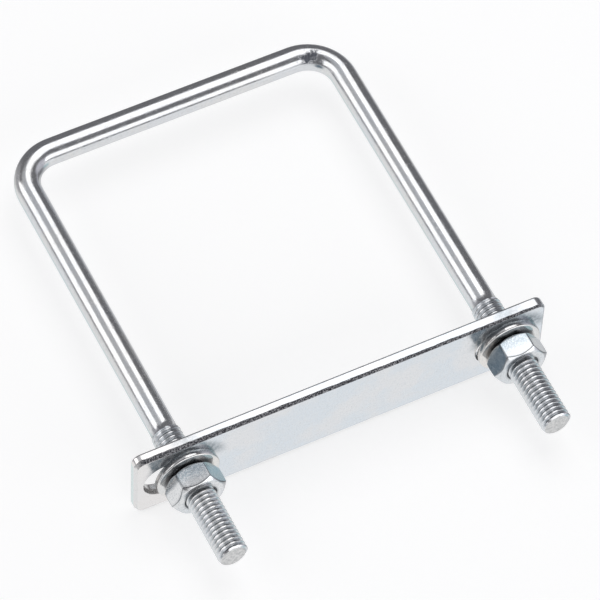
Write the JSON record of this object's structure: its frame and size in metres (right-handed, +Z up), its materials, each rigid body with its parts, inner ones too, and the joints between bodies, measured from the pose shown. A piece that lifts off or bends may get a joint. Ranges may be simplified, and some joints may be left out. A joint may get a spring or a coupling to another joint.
{
  "type": "square u-bolt",
  "caption": "Square-bend U-bolt of round zinc-plated rod with threaded legs, a slotted clamp plate, flat washers and hexagon nuts.",
  "frame": {"origin": "on the inner face of the clamp plate, midway between the two legs, at the height of the rod's centreline", "axes": "+Y from the plate towards the crown, along the legs; +X along the plate; +Z up with the U lying flat"},
  "size_m": [0.113, 0.132, 0.022],
  "materials": {
    "rod_zinc": "bright zinc plating, semi-gloss",
    "plate_zinc": "bright zinc plating, semi-gloss",
    "washer_zinc": "bright zinc plating, semi-gloss",
    "nut_zinc": "bright zinc plating, semi-gloss"
  },
  "bodies": {
    "rod": {"u_bolt": "rod_zinc"},
    "plate": {"clamp_plate": "plate_zinc"},
    "washer_left": {"left_washer": "washer_zinc"},
    "washer_right": {"right_washer": "washer_zinc"},
    "nut_left": {"left_nut": "nut_zinc"},
    "nut_right": {"right_nut": "nut_zinc"}
  },
  "joints": [
    {"name": "plate_slide", "type": "slide", "parent": "rod", "child": "plate", "axis": [0, 1, 0], "range_m": [0, 0.085]},
    {"name": "left_travel", "type": "slide", "parent": "rod", "child": "washer_left", "axis": [0, -1, 0], "range_m": [0, 0.0251]},
    {"name": "left_nut_turn", "type": "hinge", "parent": "washer_left", "child": "nut_left", "pos_m": [-0.0445, -0.0047, 0], "axis": [0, -1, 0], "range_deg": [0, 7200]},
    {"name": "right_travel", "type": "slide", "parent": "rod", "child": "washer_right", "axis": [0, -1, 0], "range_m": [0, 0.0251]},
    {"name": "right_nut_turn", "type": "hinge", "parent": "washer_right", "child": "nut_right", "pos_m": [0.0445, -0.0047, 0], "axis": [0, -1, 0], "range_deg": [0, 7200]}
  ],
  "couplings": [
    {"joint": "left_travel", "follows": "left_nut_turn", "m_per_rad": 0.00019894},
    {"joint": "right_travel", "follows": "right_nut_turn", "m_per_rad": 0.00019894}
  ]
}
